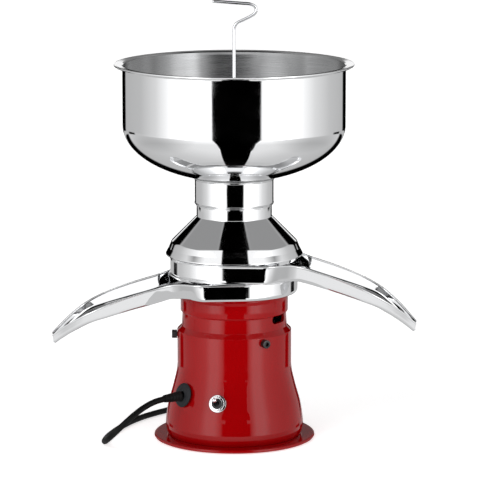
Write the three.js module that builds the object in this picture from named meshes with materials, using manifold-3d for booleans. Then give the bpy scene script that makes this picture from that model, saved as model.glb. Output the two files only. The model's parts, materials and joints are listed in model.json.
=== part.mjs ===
// Electric cream separator: a motor in a red cast housing spins a drum of stacked cones,
// two spouted receivers catch the skim milk and the cream, and a milk bowl stands on top.
// Millimetres, +Z up. The origin is on the table under the drum's axis, +X is the cream
// spout's side and -Y is the front, where the switch is.
import * as THREE from "three";
import { mergeVertices } from "three/addons/utils/BufferGeometryUtils.js";
import Module from "manifold-3d";

const wasm = await Module();
wasm.setup();

// ---- Driving dimensions ----------------------------------------------------------------
const GAP = 0.3; // clearance between pieces that touch
const ROUND = 24; // sides of a large turned piece
const MEDIUM = 16; // sides of the drum's and the motor's pieces
const SMALL = 8; // sides of a screw, a rod or a foot

const FOOT_HEIGHT = 1.2;
const FLANGE = { radius: 95.7, bottom: 1.5, top: 5.5 };
const HOUSING = { bottom: 5.8, bell: 67.7, neck: 61.5, collar: 63.7, top: 177.2, wall: 3 };
const MOTOR_FLANGE_Z = 125; // level of the three radial motor screws
const SCREW_AZIMUTHS = [31, 151, 271]; // degrees from the front towards +X
const SLOT = { azimuths: [59.4, 239.4], z: 149, length: 28, height: 9.4 };

const SKIM = { radius: 75, bottom: 177.5, top: 198, spoutTurn: 184, drop: 0.93 };
const CREAM = { radius: 75.7, bottom: 198.3, top: 220.6, spoutTurn: -4, drop: 1.05 };
const SHEET = 1.8; // wall of the receivers, the cover and the bowl
const SPOUT_REACH = 216; // from the axis to a spout's tip

const COVER = { bottom: 221.8, neckBottom: 267.5, top: 282, skirt: 81, neck: 44.4 };
const CHAMBER = { radius: 46.4, seat: 282.4, top: 311.3, cup: 42.6, floor: 268.4 };
const BOWL = { bottom: 311.6, foot: 47.3, radius: 131, bend: 376, depth: 66, rim: 448, flange: 141 };
const OUTLET = 5.5; // radius of the bowl's outlet

const SPINDLE = 5; // radius of the motor's spindle
const DRUM = { radius: 48, bottom: 139, shoulder: 160, neck: 18, neckBottom: 184, neckTop: 196.8 };
const DISC_COUNT = 5;

const SWITCH = { azimuth: -15, z: 56, surface: 75.1 };
const CORD_EXIT = { azimuth: -52.5, z: 60, surface: 73.9 };
const CORD_RADIUS = 3.5;
const COIL = { x: 3, y: 156, inner: 30.3, outer: 51.7, height: 14.2 };
const PLUG = { x: 0, y: 219, z: 18.4, radius: 18.2, length: 47, pin: 19 };

// ---- Materials -------------------------------------------------------------------------
const finish = (color, roughness, metalness) => ({ color, roughness, metalness });
const RED = finish(0xa81420, 0.25, 0.1);
const POLISHED = finish(0xd8dade, 0.12, 1);
const CAST = finish(0xa8abad, 0.5, 0.9);
const STEEL = finish(0xb8bbc0, 0.25, 1);
const BLACK_STEEL = finish(0x1c1c1e, 0.45, 0.8);
const CHROME = finish(0xe0e2e6, 0.06, 1);
const RUBBER = finish(0x161616, 0.7, 0);
const COPPER = finish(0xb06a3c, 0.35, 0.9);
const BRASS = finish(0xc2a14d, 0.3, 1);
const CARBON = finish(0x2a2a2c, 0.6, 0.1);
const PLASTIC = finish(0x1b1b1d, 0.4, 0);
const FLOAT_PLASTIC = finish(0xe6e8ea, 0.35, 0);

// ---- Shape tools -----------------------------------------------------------------------
// A closed geometry as a manifold solid, its faces turned outwards.
function solid(geometry) {
  const plain = geometry.clone();
  plain.deleteAttribute("normal");
  plain.deleteAttribute("uv");
  const merged = mergeVertices(plain, 1e-4);
  const triVerts = new Uint32Array(merged.index.array);
  const vertProperties = merged.attributes.position.array;
  const made = new wasm.Manifold(new wasm.Mesh({ numProp: 3, vertProperties, triVerts }));
  if (made.volume() > 0) return made;
  for (let i = 0; i < triVerts.length; i += 3) {
    [triVerts[i + 1], triVerts[i + 2]] = [triVerts[i + 2], triVerts[i + 1]];
  }
  return new wasm.Manifold(new wasm.Mesh({ numProp: 3, vertProperties, triVerts }));
}

function geometryOf(made) {
  const mesh = made.getMesh();
  const positions = new Float32Array(mesh.numVert * 3);
  for (let i = 0; i < mesh.numVert; i++) {
    const start = i * mesh.numProp;
    positions.set(mesh.vertProperties.subarray(start, start + 3), i * 3);
  }
  return new THREE.BufferGeometry()
    .setAttribute("position", new THREE.BufferAttribute(positions, 3))
    .setIndex(new THREE.BufferAttribute(new Uint32Array(mesh.triVerts), 1));
}

const join = (first, ...others) => others.reduce((sum, other) => sum.add(other), first);
const cut = (first, ...others) => others.reduce((left, other) => left.subtract(other), first);

// An outline of [radius, height] corners turned about Z. An outline that ends off the axis
// at both ends is closed on itself.
function turned(outline, sides = ROUND) {
  const corners = outline.map(([r, z]) => new THREE.Vector2(r, z));
  const open = corners[0].x > 0 || corners[corners.length - 1].x > 0;
  if (open) corners.push(corners[0].clone());
  return solid(new THREE.LatheGeometry(corners, sides).rotateX(Math.PI / 2));
}

// A ring between two radii and two heights.
function ring(inner, outer, low, high, sides = ROUND) {
  if (inner === 0) return turned([[0, low], [outer, low], [outer, high], [0, high]], sides);
  return turned([[inner, low], [outer, low], [outer, high], [inner, high]], sides);
}

// A box given by its lowest and highest corners.
function block(low, high) {
  const size = high.map((value, axis) => value - low[axis]);
  const middle = high.map((value, axis) => (value + low[axis]) / 2);
  return solid(new THREE.BoxGeometry(...size).translate(...middle));
}

// Turns a solid about Z by an angle in degrees.
const turn = (made, degrees) => made.rotate([0, 0, degrees]);

// Directions on the housing are given from the front (-Y) towards +X. A solid made along
// +Z is laid down so that it points outwards at that azimuth, at a level.
function outwards(made, azimuth, level) {
  return turn(made.rotate([90, 0, 0]), azimuth).translate([0, 0, level]);
}

// A solid made along +Z on the plane Z = 0 is set flush on the housing's leaning wall.
const WALL_LEAN = 15.4; // degrees
function onWall(made, { azimuth, z, surface }) {
  const leaning = made.rotate([90 - WALL_LEAN, 0, 0]).translate([0, -surface, z]);
  return turn(leaning, azimuth);
}

// A closed skin over sections of equal point counts, with flat ends.
function loft(sections) {
  const count = sections[0].length;
  const positions = sections.flat().flatMap((point) => point);
  const faces = [];
  for (let s = 0; s + 1 < sections.length; s++) {
    for (let i = 0; i < count; i++) {
      const [a, b] = [s * count + i, s * count + ((i + 1) % count)];
      faces.push(a, b, a + count, b, b + count, a + count);
    }
  }
  const last = (sections.length - 1) * count;
  for (let i = 1; i + 1 < count; i++) {
    faces.push(0, i + 1, i, last, last + i, last + i + 1);
  }
  const geometry = new THREE.BufferGeometry();
  geometry.setAttribute("position", new THREE.Float32BufferAttribute(positions, 3));
  return solid(geometry.setIndex(faces));
}

// A round bar along a smooth curve through the points.
function tube(points, radius, sides, steps) {
  const section = new THREE.Shape();
  for (let i = 0; i < sides; i++) {
    const angle = (2 * Math.PI * i) / sides;
    const corner = [radius * Math.cos(angle), radius * Math.sin(angle)];
    if (i === 0) section.moveTo(...corner);
    else section.lineTo(...corner);
  }
  const path = new THREE.CatmullRomCurve3(points.map((point) => new THREE.Vector3(...point)));
  const shape = { extrudePath: path, steps, curveSegments: 1 };
  return solid(new THREE.ExtrudeGeometry(section, shape));
}

const root = new THREE.Group();
function add(name, made, { color, roughness, metalness }) {
  const material = new THREE.MeshStandardMaterial({ color, roughness, metalness });
  const mesh = new THREE.Mesh(geometryOf(made), material);
  mesh.name = name;
  root.add(mesh);
}

// ---- Base: flange disc, rubber feet and housing ----------------------------------------
const FOOT_ANGLES = [45, 135, 225, 315];
const BOSS_ANGLES = [0, 120, 240];
const BOSS = { circle: 73, radius: 6.5, hole: 2, top: 26 };
const FOOT_CIRCLE = 66;

function addBase() {
  let plate = ring(0, FLANGE.radius, FLANGE.bottom, FLANGE.top);
  plate = cut(plate, ring(0, 24, FLANGE.bottom - 1, FLANGE.top + 1, MEDIUM));
  for (const angle of FOOT_ANGLES) {
    plate = cut(plate, turn(post(FOOT_CIRCLE, 3, FLANGE.bottom - 1, FLANGE.top + 1), angle));
  }
  for (const angle of BOSS_ANGLES) {
    const through = post(BOSS.circle, BOSS.hole, FLANGE.bottom - 1, FLANGE.top + 1);
    const sink = post(BOSS.circle, 4.2, FLANGE.bottom - 1, 3.9);
    plate = cut(plate, turn(join(through, sink), angle));
  }
  add("base_plate", plate, RED);
  FOOT_ANGLES.forEach((angle, i) => {
    const pad = post(FOOT_CIRCLE, 9, 0, FOOT_HEIGHT);
    const stem = post(FOOT_CIRCLE, 2.7, FOOT_HEIGHT - 0.5, FLANGE.top + 0.6);
    const barb = post(FOOT_CIRCLE, 4, FLANGE.top + GAP, FLANGE.top + 2.4);
    add(`rubber_foot_${i + 1}`, turn(join(pad, stem, barb), angle), RUBBER);
  });
  BOSS_ANGLES.forEach((angle, i) => {
    const head = post(BOSS.circle, 3.8, FLANGE.bottom + 0.1, 3.6);
    const shank = post(BOSS.circle, 1.7, 3, 18);
    add(`base_screw_${i + 1}`, turn(join(head, shank), angle), STEEL);
  });
}

// An upright round post whose axis stands at a distance along +X.
function post(distance, radius, low, high) {
  return ring(0, radius, low, high, SMALL).translate([distance, 0, 0]);
}

function addHousing() {
  const { bottom, bell, neck, collar, top, wall } = HOUSING;
  const outside = [[78.5, bottom], [80.7, 10], [81.9, 18], [80.5, 32], [78.2, 44.5], [75.5, 54],
    [72.2, 66], [68.4, 83.6], [bell, 92], [bell, 131.3], [62, 137], [neck, 152.6],
    [62.6, 153.4], [collar, 155.4], [collar, top]];
  const inside = [[75.3, bottom - 1], [78.8, 18], [77.4, 32], [72.4, 54], [65.4, 83.6],
    [bell - wall, 92], [bell - wall, 131.1], [neck - wall, 136.6], [neck - wall, 166],
    [60.4, 167.5], [60.4, top + 1]];
  const closed = (outline, low, high) => turned([[0, low], ...outline, [0, high]]);
  const full = closed(outside, bottom, top);
  let hollow = closed(inside, bottom - 1, top + 1);
  for (const angle of BOSS_ANGLES) {
    hollow = cut(hollow, turn(post(BOSS.circle, BOSS.radius, bottom - 2, BOSS.top), angle));
  }
  let shell = cut(full, hollow);
  for (const angle of BOSS_ANGLES) {
    shell = cut(shell, turn(post(BOSS.circle, BOSS.hole, bottom - 1, 20), angle));
  }
  for (const azimuth of SCREW_AZIMUTHS) {
    shell = cut(shell, outwards(ring(0, 3.4, 50, 80, SMALL), azimuth, MOTOR_FLANGE_Z));
  }
  for (const azimuth of SLOT.azimuths) {
    const half = (SLOT.length - SLOT.height) / 2;
    const round = (side) => ring(0, SLOT.height / 2, 50, 72, SMALL).translate([side * half, 0, 0]);
    const middle = block([-half, -SLOT.height / 2, 50], [half, SLOT.height / 2, 72]);
    const slot = join(middle, round(-1), round(1));
    shell = cut(shell, outwards(slot, azimuth, SLOT.z));
  }
  shell = cut(shell, onWall(ring(0, 6.4, -8, 8, SMALL), SWITCH));
  shell = cut(shell, onWall(ring(0, 9.2, -8, 8, MEDIUM), CORD_EXIT));
  add("motor_housing", shell, RED);
}

function addMotorScrews() {
  SCREW_AZIMUTHS.forEach((azimuth, i) => {
    const shank = ring(0, 2.9, 52.4, 69, SMALL);
    const head = ring(0, 5, HOUSING.bell + GAP, HOUSING.bell + 6.5, SMALL);
    const socket = ring(0, 2.9, HOUSING.bell + 3, HOUSING.bell + 8, 6);
    const screw = cut(join(shank, head), socket);
    add(`mount_screw_${i + 1}`, outwards(screw, azimuth, MOTOR_FLANGE_Z), BLACK_STEEL);
  });
}

// ---- Motor -----------------------------------------------------------------------------
const STATOR = { outer: 44, bore: 23.5, low: 66, high: 96 };
const BOLT_CIRCLE = 39;
const PILLAR = 5;

function addMotorFrame() {
  let upper = turned([[9, 131], [9, 129.4], [15.2, 129.4], [15.2, 119], [19, 119], [21, 127.5],
    [56, 127.5], [56, 118.8], [63.9, 118.8], [63.9, 129.6], [62.4, 131]]);
  for (const side of [0, 180]) {
    upper = join(upper, turn(post(BOLT_CIRCLE, PILLAR, STATOR.high + GAP, 129), 90 + side));
    upper = cut(upper, turn(post(BOLT_CIRCLE, 2.3, 90, 124), 90 + side));
  }
  for (const azimuth of SCREW_AZIMUTHS) {
    upper = cut(upper, outwards(ring(0, 3.3, 50, 70, SMALL), azimuth, MOTOR_FLANGE_Z));
  }
  add("upper_bracket", upper, CAST);

  let lower = turned([[6, 22], [15, 22], [16, 32], [46, 32], [46, 35.5], [11.3, 35.5],
    [11.3, 24], [6, 24]], MEDIUM);
  for (const side of [0, 180]) {
    lower = join(lower, turn(post(BOLT_CIRCLE, PILLAR, 34, STATOR.low - GAP), 90 + side));
    lower = cut(lower, turn(post(BOLT_CIRCLE, 2.3, 20, 80), 90 + side));
  }
  add("lower_bracket", lower, CAST);
  [0, 180].forEach((side, i) => {
    const shank = post(BOLT_CIRCLE, 2, 30, 122);
    const head = post(BOLT_CIRCLE, 4, 28, 31.7);
    add(`motor_bolt_${i + 1}`, turn(join(shank, head), 90 + side), STEEL);
  });
  add("upper_bearing", ring(SPINDLE + GAP, 14.9, 120, 129, MEDIUM), STEEL);
  add("lower_bearing", ring(4.4, 11, 24.3, 31.3, MEDIUM), STEEL);
  add("spindle_seal", turned([[6.5, 131.4], [15, 131.4], [13, 134], [6.5, 136]], MEDIUM), RUBBER);
}

function addStator() {
  const { outer, bore, low, high } = STATOR;
  let core = ring(bore, outer, low, high, MEDIUM);
  for (const side of [-1, 1]) {
    for (const edge of [-1, 1]) {
      const x = [27.2 * side, 33.8 * side].sort((a, b) => a - b);
      const y = [12.1 * edge, 19.4 * edge].sort((a, b) => a - b);
      core = cut(core, block([x[0], y[0], low - 1], [x[1], y[1], high + 1]));
    }
    core = cut(core, turn(post(BOLT_CIRCLE, 2.4, low - 1, high + 1), 90 * side));
  }
  add("stator_core", core, CAST);
  [1, -1].forEach((side, i) => {
    const x = [27.5 * side, 33.5 * side].sort((a, b) => a - b);
    const around = block([x[0], -19, low - 7], [x[1], 19, high + 7]);
    const opening = block([x[0] - 1, -12.5, low - 0.5], [x[1] + 1, 12.5, high + 0.5]);
    add(`field_coil_${i + 1}`, cut(around, opening), COPPER);
  });
  [0, 180].forEach((angle, i) => {
    const holder = block([17, -6, 35.8], [40, 6, 53]);
    const channel = block([16, -4.3, 43], [41, 4.3, 51]);
    add(`brush_holder_${i + 1}`, turn(cut(holder, channel), angle), BRASS);
    add(`carbon_brush_${i + 1}`, turn(block([13.5, -3.9, 43.4], [33, 3.9, 50.6]), angle), CARBON);
  });
}

function addRotor() {
  const spindle = turned([[0, 21], [4, 21], [4, 34], [SPINDLE, 35], [SPINDLE, 137], [4.6, 139],
    [3.9, 152], [0, 152]], MEDIUM);
  add("spindle", spindle, STEEL);
  const slots = 10;
  let core = ring(SPINDLE + GAP, 22.8, STATOR.low, STATOR.high, MEDIUM);
  let winding = join(
    ring(9, 20, STATOR.high + 0.4, STATOR.high + 7, MEDIUM),
    ring(9, 20, STATOR.low - 7, STATOR.low - 0.4, MEDIUM),
  );
  for (let i = 0; i < slots; i++) {
    const angle = (360 * i) / slots;
    core = cut(core, turn(block([15, -1.7, 60], [24, 1.7, 104]), angle));
    winding = join(winding, turn(block([15.4, -1.3, 60], [19.6, 1.3, 102]), angle));
  }
  add("armature_core", core, CAST);
  add("armature_winding", winding, COPPER);
  add("commutator", ring(SPINDLE + GAP, 13, 40, 55.5, MEDIUM), COPPER);
  const hub = ring(SPINDLE + GAP, 10, 105.5, 116, MEDIUM);
  let fan = join(hub, ring(8, 31, 105.5, 107, MEDIUM));
  for (let i = 0; i < 9; i++) {
    fan = join(fan, turn(block([9, -0.7, 106], [30.4, 0.7, 115]), 40 * i));
  }
  add("cooling_fan", fan, PLASTIC);
}

// ---- Drum ------------------------------------------------------------------------------
// The conical pieces are parallel to the drum cover's cone.
const CONE_SLOPE = (DRUM.neckBottom - DRUM.shoulder) / (DRUM.radius - DRUM.neck);

function addDrum() {
  const { radius, bottom, shoulder, neck, neckBottom, neckTop } = DRUM;
  const base = turned([[SPINDLE + 1.6, 137], [13, 137], [13, bottom], [radius, bottom],
    [radius, 146], [45.2, 146], [45.2, 149], [43.6, 149], [43.6, 143.5], [10.6, 143.5],
    [10.6, 147.6], [SPINDLE + 0.6, 147.6]], MEDIUM);
  add("drum_base", base, STEEL);
  add("drum_gasket", ring(45.6, 47.8, 146.3, 148.6, MEDIUM), RUBBER);
  let cover = turned([[radius, 149], [radius, shoulder], [neck, neckBottom], [neck, neckTop],
    [15.2, neckTop], [15.2, neckBottom - 1], [45.9, shoulder - 1.4], [45.9, 149.9],
    [45.6, 149]], MEDIUM);
  for (const angle of [0, 180]) {
    const skimHole = solid(new THREE.CylinderGeometry(1.4, 1.4, 8, 8)).rotate([0, 0, 90]);
    cover = cut(cover, turn(skimHole.translate([17, 0, 191.5]), 90 + angle));
  }
  add("drum_cover", cover, STEEL);

  // The carrier: a tube that the milk comes down, on a cone that holds the discs.
  let carrier = turned([[10.9, 144], [40, 147], [40, 148.2], [14, 149.6], [10.9, 160],
    [10.9, 218.6], [8.5, 218.6], [8.5, 148], [10.9, 148]], MEDIUM);
  for (let i = 0; i < 4; i++) {
    const port = block([7.5, -2, 153], [12.5, 2, 157]);
    carrier = cut(carrier, turn(port, 90 * i + 45));
  }
  add("disc_carrier", carrier, STEEL);

  const discOutline = (outer, inner, low, thick) => {
    const high = low + (outer - inner) * CONE_SLOPE;
    return [[outer, low], [outer, low + thick], [inner, high + thick], [inner, high]];
  };
  for (let i = 0; i < DISC_COUNT; i++) {
    const outline = discOutline(42, 14.4, 150.2 + 1.2 * i, 0.7);
    add(`disc_${i + 1}`, turned(outline, MEDIUM), POLISHED);
  }
  const divider = turned([[43, 157.7], [43, 158.6], [14.9, 181.1], [14.9, 213.6],
    [11.3, 213.6], [11.3, 183.4]], MEDIUM);
  const creamHole = block([10, -1.2, 205.8], [14, 1.2, 208.2]);
  add("separating_disc", cut(divider, creamHole, block([13, -1.6, 205.4], [16, 1.6, 208.6])), STEEL);
  const screw = block([13.3, -1.2, 205.8], [15.6, 1.2, 208.2]);
  add("cream_screw", screw, BRASS);
  let nut = turned([[11.3, 214], [15, 214], [15, 219.6], [13.6, 222], [7, 222], [7, 219.2],
    [11.3, 219.2]], MEDIUM);
  for (const angle of [0, 90]) {
    nut = cut(nut, turn(block([-20, -1.5, 220.4], [20, 1.5, 224]), angle));
  }
  add("drum_nut", nut, STEEL);
}

// ---- Receivers and their spouts --------------------------------------------------------
// Down the spout, from the axis outwards: distance, half width, drop of the rim below the
// ring's top edge, and height of the wall. The wall leaves the ring along its tangent and
// draws in to the trough. At the root it reaches down to the bottom of the pan.
const SPOUT_STATIONS = [
  [14, 74.6, 0],
  [42, 73, 0.3],
  [56, 63, 0.9],
  [70, 49.5, 2.8],
  [80, 44.5, 5.4],
  [94, 42, 9.6, 19.4],
  [120, 41.5, 17.5, 19.2],
  [150, 41.5, 29, 17],
  [174, 40.5, 41, 13.2],
  [198, 23, 58, 11.6],
  [SPOUT_REACH, 8, 74.5, 11.4],
];
const SPOUT_LEAN = 0.22; // how far the side walls lean outwards, per unit of height

// The trough's full form, or the hollow inside it where inset is the sheet's thickness.
function troughForm({ top, bottom, drop }, inset) {
  const lift = inset > 0 ? 8 : 0;
  const stations = SPOUT_STATIONS.map((station) => [...station]);
  if (inset > 0) stations.push([SPOUT_REACH + 6, 8, 79, 11.4]);
  return loft(stations.map(([x, halfWidth, down, wall]) => {
    const height = wall ?? top - down * drop - bottom;
    const rim = top - down * drop + lift;
    const floor = top - down * drop - height + inset;
    const wide = halfWidth - inset + lift * SPOUT_LEAN;
    const narrow = halfWidth - inset - height * SPOUT_LEAN;
    const corner = Math.min(4, narrow * 0.5);
    const side = (sign) => [
      [x, sign * wide, rim],
      [x, sign * (narrow + corner * SPOUT_LEAN), floor + corner],
      [x, sign * (narrow - corner * 0.3), floor + corner * 0.3],
      [x, sign * (narrow - corner), floor],
    ];
    return [...side(-1), ...side(1).reverse()];
  }));
}

// A spouted receiver: a shallow round pan with a funnel-shaped wall round the hole in its
// middle, and a trough. The spout is made along +X and turned to its own side.
function receiver(pan, outside, hollow, middle) {
  const full = join(turned(outside), troughForm(pan, 0));
  const open = cut(full, turned(hollow), troughForm(pan, SHEET));
  return turn(join(open, ...middle), pan.spoutTurn);
}

function addReceivers() {
  const skimBody = [[0, SKIM.bottom], [73, SKIM.bottom], [SKIM.radius, 179.6],
    [SKIM.radius, SKIM.top], [0, SKIM.top]];
  const skimHollow = [[0, 170], [30.6, 170], [30.6, SKIM.bottom + SHEET], [73.2, 179.3],
    [73.2, SKIM.top + 1], [0, SKIM.top + 1]];
  const skimFunnel = turned([[29, SKIM.bottom], [31.4, SKIM.bottom], [31.4, 179.3], [22.4, 190],
    [20.6, 190], [29, 180]]);
  const skimSkirt = ring(58.2, 59.8, 170.4, 178.4);
  add("skim_receiver", receiver(SKIM, skimBody, skimHollow, [skimFunnel, skimSkirt]), POLISHED);

  const creamBody = [[0, CREAM.bottom], [77.4, CREAM.bottom], [77.4, 199.6], [CREAM.radius, 200.6],
    [CREAM.radius, CREAM.top], [0, CREAM.top]];
  const creamHollow = [[0, 190], [17, 190], [17, CREAM.bottom + SHEET], [73.9, 200.1],
    [73.9, CREAM.top + 1], [0, CREAM.top + 1]];
  const creamFunnel = turned([[16.6, CREAM.bottom], [19, CREAM.bottom], [18.4, 205.4], [17, 205.4]]);
  const creamSkirt = ring(70.8, 72.5, 195.4, 199);
  const cream = receiver(CREAM, creamBody, creamHollow, [creamFunnel, creamSkirt]);
  add("cream_receiver", cream, POLISHED);
}

function addCover() {
  const { bottom, neckBottom, top, skirt, neck } = COVER;
  const cover = turned([[skirt, bottom], [skirt, 225], [76.7, 228.2], [75, 237],
    [neck, neckBottom], [neck, 280.4], [45.4, 281], [45.4, 281.8], [neck - SHEET + 0.4, top],
    [neck - SHEET + 0.4, neckBottom - 0.8], [73.2, 236.2], [74.6, 227.4], [73.4, 224],
    [73.2, 216], [71.8, 216], [72, 224.8], [79, 224]]);
  add("receiver_cover", cover, POLISHED);
}

// ---- Float chamber, float, bowl and stopper --------------------------------------------
const FEED_TUBE = { outer: 4.6, inner: 3, bottom: 211 };

function addFloatChamber() {
  const { radius, seat, top, cup, floor } = CHAMBER;
  const chamber = turned([[FEED_TUBE.inner, FEED_TUBE.bottom], [FEED_TUBE.outer, FEED_TUBE.bottom],
    [FEED_TUBE.outer, floor - 1.5], [cup - 1.5, floor - 1.5], [cup, floor], [cup, seat],
    [radius, seat], [radius + 0.6, seat + 1], [radius, seat + 2], [radius, top],
    [radius - 1.6, top], [radius - 1.6, seat + 2], [cup - 1.6, seat + 1], [cup - 1.6, floor],
    [FEED_TUBE.inner, floor]]);
  add("float_chamber", chamber, POLISHED);
  let float = turned([[0, 272], [36, 272], [38, 274], [38, 284], [34, 287], [8, 290.4],
    [6, 293], [0, 293]], MEDIUM);
  for (const angle of [0, 120, 240]) {
    float = join(float, turn(post(26, 2.5, floor + GAP, 273), angle));
  }
  add("float", float, FLOAT_PLASTIC);
}

function bowlCurve(radius, depth, from) {
  const points = [];
  const steps = 5;
  const start = Math.acos(from / radius);
  for (let i = 0; i <= steps; i++) {
    const angle = start * (1 - i / steps);
    points.push([radius * Math.cos(angle), BOWL.bend - depth * Math.sin(angle)]);
  }
  return points;
}

function addBowl() {
  const { bottom, foot, radius, depth, rim, flange } = BOWL;
  const floor = bottom + 2.6;
  const bowl = turned([[OUTLET, 303], [OUTLET + 2.6, 303], [OUTLET + 2.6, bottom],
    [42.6, bottom], [42.6, 305], [44.2, 305], [44.2, bottom], [48, bottom], [48.4, 313],
    ...bowlCurve(radius, depth, foot), [radius, 441], [132.6, 444.6], [136, 445.8],
    [flange - 1, 445.8], [flange, 446.8], [flange - 0.4, rim - 0.2], [flange - 2, rim],
    [135, 447.6], [131.4, 446.4], [radius - SHEET, 442],
    ...bowlCurve(radius - SHEET, depth - SHEET, foot).reverse().slice(1, -1),
    [foot - 2, floor], [OUTLET, floor]]);
  add("milk_bowl", bowl, POLISHED);
}

const ROD = { radius: 1.9, bottom: 318, straight: 488 };
const ROD_ROUTE = [[0, 0, ROD.bottom], [0, 0, 380], [0, 0, 440], [0, 0, ROD.straight],
  [1.1, 0, 492.2], [4.2, 0, 495.7], [11, 0, 499.1], [19.1, 0, 503], [24.2, 0, 506.6],
  [25.9, 0, 510.4], [24.3, 0, 514.8], [18.4, 0, 517.6], [6, 0, 518.6], [-10, 0, 519.8],
  [-24.5, 0, 520.9]];

function addStopper() {
  const floor = BOWL.bottom + 2.6;
  let plug = turned([[0, 305], [OUTLET - 0.9, 305], [OUTLET - 0.4, floor], [10.5, floor + GAP],
    [11, 318], [9, 324], [5, 327], [0, 327]], MEDIUM);
  plug = cut(plug, ring(0, ROD.radius + GAP, ROD.bottom - GAP, 330, SMALL));
  add("stopper_plug", plug, RUBBER);
  add("stopper_rod", tube(ROD_ROUTE, ROD.radius, 8, 26), CHROME);
}

const LEVER_TILT = 12; // degrees to either side of the switch's axis

// ---- Switch and mains lead -------------------------------------------------------------
function addSwitch() {
  const barrel = join(ring(0, 6, -8, 6, SMALL), block([-8, -14, -25], [8, 14, -5.6]));
  const mouth = turned([[0, -1], [2.4, -1], [4.4, 7], [0, 7]], SMALL);
  add("switch_body", onWall(cut(barrel, mouth), SWITCH), PLASTIC);
  const nut = turned([[6.3, 0.7], [10.3, 0.7], [10.3, 3], [8.6, 4.4], [6.3, 4.4]], MEDIUM);
  add("switch_nut", onWall(nut, SWITCH), CHROME);
  const lever = turned([[0, 0], [1.5, 0], [1.5, 6], [2.5, 17], [2.1, 19], [0, 19.6]], SMALL);
  add("switch_lever", onWall(lever.rotate([-LEVER_TILT, 0, 0]), SWITCH), CHROME);
}

// The lead from the grommet to the coil, and from the coil to the plug.
const LEAD_ROUTE = [[-63.6, -48.8, 60], [-73.8, -56.7, 60], [-84.2, -64.6, 59.6],
  [-94.5, -72.1, 57.9], [-104.7, -78.8, 53.7], [-114.8, -83.7, 47.2], [-124.5, -85.8, 39],
  [-133.6, -84.3, 30], [-141.6, -79.2, 21.2], [-147.7, -70.6, 13.8], [-151.6, -59.5, 8.4],
  [-153.3, -47.1, 5.2], [-153.1, -34.3, 3.9], [-151.5, -21.4, 3.6], [-148.8, -8.7, 3.6],
  [-145.5, 3.8, 3.6], [-141.7, 16.2, 3.6], [-137.6, 28.5, 3.6], [-133.1, 40.6, 3.6],
  [-128.1, 52.5, 3.6], [-122.5, 64.2, 3.6], [-116.2, 75.6, 3.6], [-109.3, 86.5, 3.6],
  [-101.6, 96.9, 3.6], [-93.4, 107, 3.6], [-84.8, 116.6, 3.6], [-76.3, 126.4, 3.6],
  [-68.2, 136.5, 3.6], [-61.4, 147.6, 3.6], [-55.5, 159.1, 3.6], [-50.4, 171, 3.6]];
const TAIL_ROUTE = [[-47.4, 182.6, 10.6], [-41.4, 194.4, 11.2], [-33, 204.6, 12.6],
  [-23, 212.4, 14.8], [-12, 217.4, 17], [PLUG.x - 0.9, PLUG.y, PLUG.z]];

function addLead() {
  const grommet = turned([[4.4, -6], [8.1, -6], [8.1, 2.2], [14.3, 2.2], [14.3, 3.2],
    [12, 4.4], [4.4, 4.4]], MEDIUM);
  add("cord_grommet", onWall(grommet, CORD_EXIT), RUBBER);
  const relief = turned([[3.9, 81], [6.2, 81], [5.8, 88], [4.7, 104], [3.9, 104]], 16);
  add("strain_relief", outwards(relief, CORD_EXIT.azimuth, CORD_EXIT.z), RUBBER);
  add("mains_cord", tube(LEAD_ROUTE, CORD_RADIUS, 8, 44), RUBBER);
  add("cord_tail", tube(TAIL_ROUTE, CORD_RADIUS, 8, 8), RUBBER);
  const coil = ring(COIL.inner, COIL.outer, 0.1, COIL.height, MEDIUM);
  add("cord_coil", coil.translate([COIL.x, COIL.y, 0]), RUBBER);
  const body = turned([[0, 0], [5.4, 0], [6.4, 12], [9.4, 20], [15.4, 27], [PLUG.radius, 33],
    [PLUG.radius, PLUG.length], [0, PLUG.length]], MEDIUM);
  const pins = [-1, 1].map((side) => {
    const pin = ring(0, 2.4, PLUG.length - 1, PLUG.length + PLUG.pin, 10);
    return pin.translate([0, 9.5 * side, 0]);
  });
  const plug = join(body, ...pins).rotate([0, 90, 0]).translate([PLUG.x, PLUG.y, PLUG.z]);
  add("mains_plug", plug, PLASTIC);
}

addBase();
addHousing();
addMotorScrews();
addMotorFrame();
addStator();
addRotor();
addDrum();
addReceivers();
addCover();
addFloatChamber();
addBowl();
addStopper();
addSwitch();
addLead();

export default root;
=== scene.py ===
"""Electric cream separator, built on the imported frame: polished milk bowl, float chamber and
cover, two spouted receivers, a disc drum, and a motor in a red enamelled housing."""
import json
import math

import bmesh
import bpy
from mathutils import Matrix, Vector


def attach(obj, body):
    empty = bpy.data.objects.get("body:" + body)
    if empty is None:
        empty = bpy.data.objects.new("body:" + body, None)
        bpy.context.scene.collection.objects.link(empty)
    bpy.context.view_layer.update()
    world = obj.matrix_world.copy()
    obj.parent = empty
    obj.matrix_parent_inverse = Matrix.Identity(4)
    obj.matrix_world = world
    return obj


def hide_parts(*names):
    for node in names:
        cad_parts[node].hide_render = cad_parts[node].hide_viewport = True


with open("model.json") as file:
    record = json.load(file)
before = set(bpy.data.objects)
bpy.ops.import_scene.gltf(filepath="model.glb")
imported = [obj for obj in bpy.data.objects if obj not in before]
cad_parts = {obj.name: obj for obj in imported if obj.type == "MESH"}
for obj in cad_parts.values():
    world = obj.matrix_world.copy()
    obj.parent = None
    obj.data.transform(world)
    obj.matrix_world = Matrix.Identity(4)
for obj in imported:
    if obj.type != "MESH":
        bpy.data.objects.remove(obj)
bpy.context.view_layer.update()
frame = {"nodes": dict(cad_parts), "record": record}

MM = 0.001
ROUND = 192  # sides of a large turned piece
MEDIUM = 96
SMALL = 48


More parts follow.
